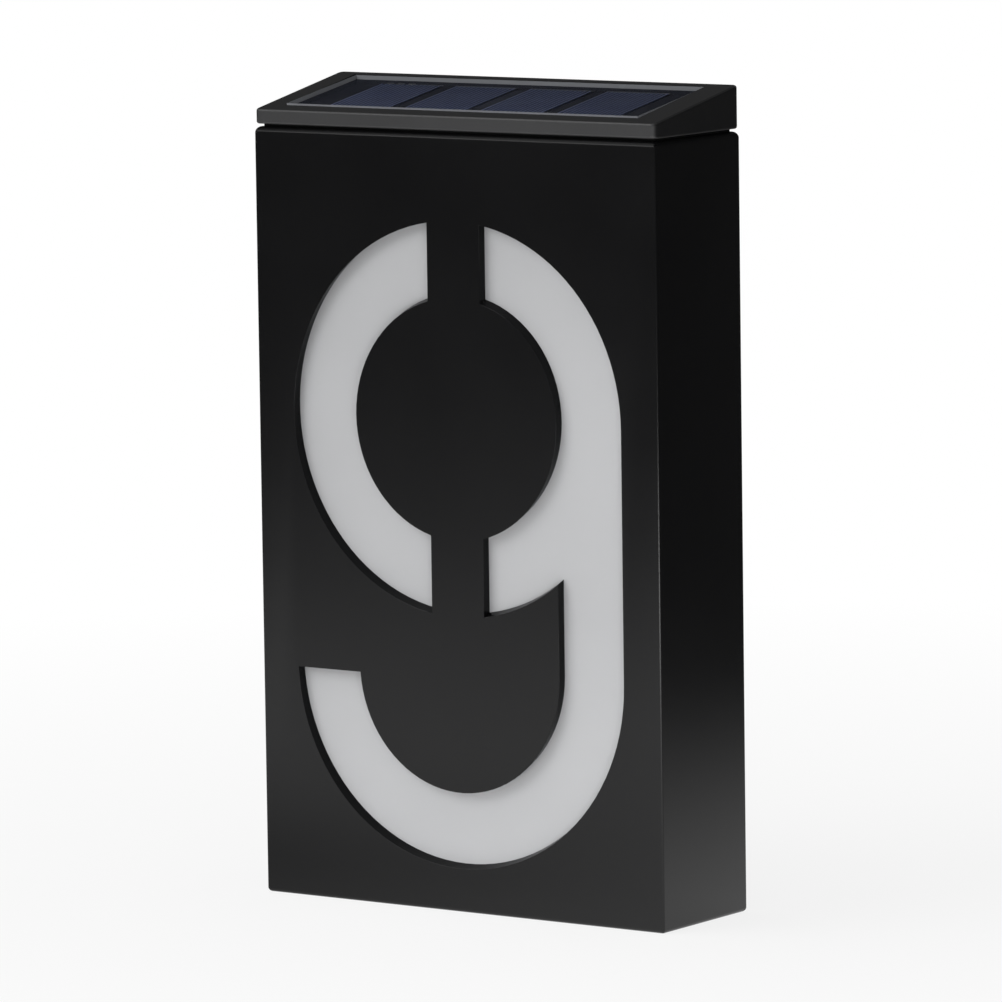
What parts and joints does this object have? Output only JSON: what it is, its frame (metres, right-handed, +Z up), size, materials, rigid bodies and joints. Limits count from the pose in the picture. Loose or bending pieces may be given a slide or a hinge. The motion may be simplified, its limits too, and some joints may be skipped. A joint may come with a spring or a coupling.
{
  "type": "illuminated house number sign",
  "caption": "Upright black wall box with a numeral cut through its front over a lit white diffuser, under a sloping lift-out solar charging module.",
  "frame": {"origin": "centre of the flat back face, which lies on the wall", "axes": "+X to the right seen from the front, +Y out of the back into the wall, +Z up"},
  "size_m": [0.1118, 0.0346, 0.1906],
  "materials": {
    "case_black": "satin moulded, fine brushed grain",
    "cap_black": "fine matt texture",
    "diffuser_white": "opal, satin",
    "tray_white": "matt white reflector",
    "back_black": "matt moulded",
    "seal_rubber": "matt soft rubber",
    "gasket_foam": "fine closed-cell foam",
    "screw_steel": "zinc plated",
    "base_black": "matt moulded",
    "panel_sheet": "dark blue-black laminate",
    "cell_blue": "dark blue silicon with fine fingers",
    "ribbon_tin": "tinned ribbon",
    "cover_clear": "clear resin, smooth",
    "board_green": "solder mask",
    "board_white": "white solder mask",
    "chip_black": "moulded package",
    "coil_dark": "ferrite with varnish",
    "can_metal": "plain can",
    "switch_metal": "pressed steel shell",
    "slider_black": "moulded",
    "battery_sleeve": "plain shrink sleeve",
    "contact_nickel": "nickel plated",
    "pin_steel": "drawn wire",
    "led_resin": "white package with yellow phosphor",
    "lead_red": "soft insulation",
    "lead_grey": "soft insulation"
  },
  "bodies": {
    "case": {"front_case": "case_black", "diffuser_panel": "diffuser_white", "diffuser_gasket": "gasket_foam", "light_tray": "tray_white", "back_plate": "back_black", "back_gasket": "seal_rubber", "back_screws": "screw_steel"},
    "solar_module": {"solar_cap": "cap_black", "cap_seal": "seal_rubber", "module_base": "base_black", "cap_screws": "screw_steel", "panel_backsheet": "panel_sheet", "solar_cell_1": "cell_blue", "solar_cell_2": "cell_blue", "solar_cell_3": "cell_blue", "solar_cell_4": "cell_blue", "tab_ribbons": "ribbon_tin", "panel_cover": "cover_clear", "control_board": "board_green", "driver_chip": "chip_black", "choke_coil": "coil_dark", "capacitor": "can_metal", "board_screws": "screw_steel", "switch_body": "switch_metal", "battery_cell": "battery_sleeve", "contact_plate": "contact_nickel", "spring_plate": "contact_nickel", "contact_spring": "contact_nickel", "hinge_pin": "pin_steel", "led_board": "board_white", "led_1": "led_resin", "led_2": "led_resin", "led_3": "led_resin", "led_4": "led_resin", "led_5": "led_resin", "led_6": "led_resin", "panel_leads": "lead_red", "led_leads": "lead_grey", "battery_leads": "lead_red"},
    "battery_door": {"battery_door": "base_black"},
    "switch_slider": {"switch_slider": "slider_black"}
  },
  "joints": [
    {"name": "module_lift", "type": "slide", "parent": "case", "child": "solar_module", "axis": [0, 0, 1], "range_m": [0, 0.045]},
    {"name": "battery_door_hinge", "type": "hinge", "parent": "solar_module", "child": "battery_door", "pos_m": [0, -0.0273, 0.0746], "axis": [-1, 0, 0], "range_deg": [0, 90]},
    {"name": "switch_slide", "type": "slide", "parent": "solar_module", "child": "switch_slider", "axis": [1, 0, 0], "range_m": [0, 0.0025]}
  ]
}
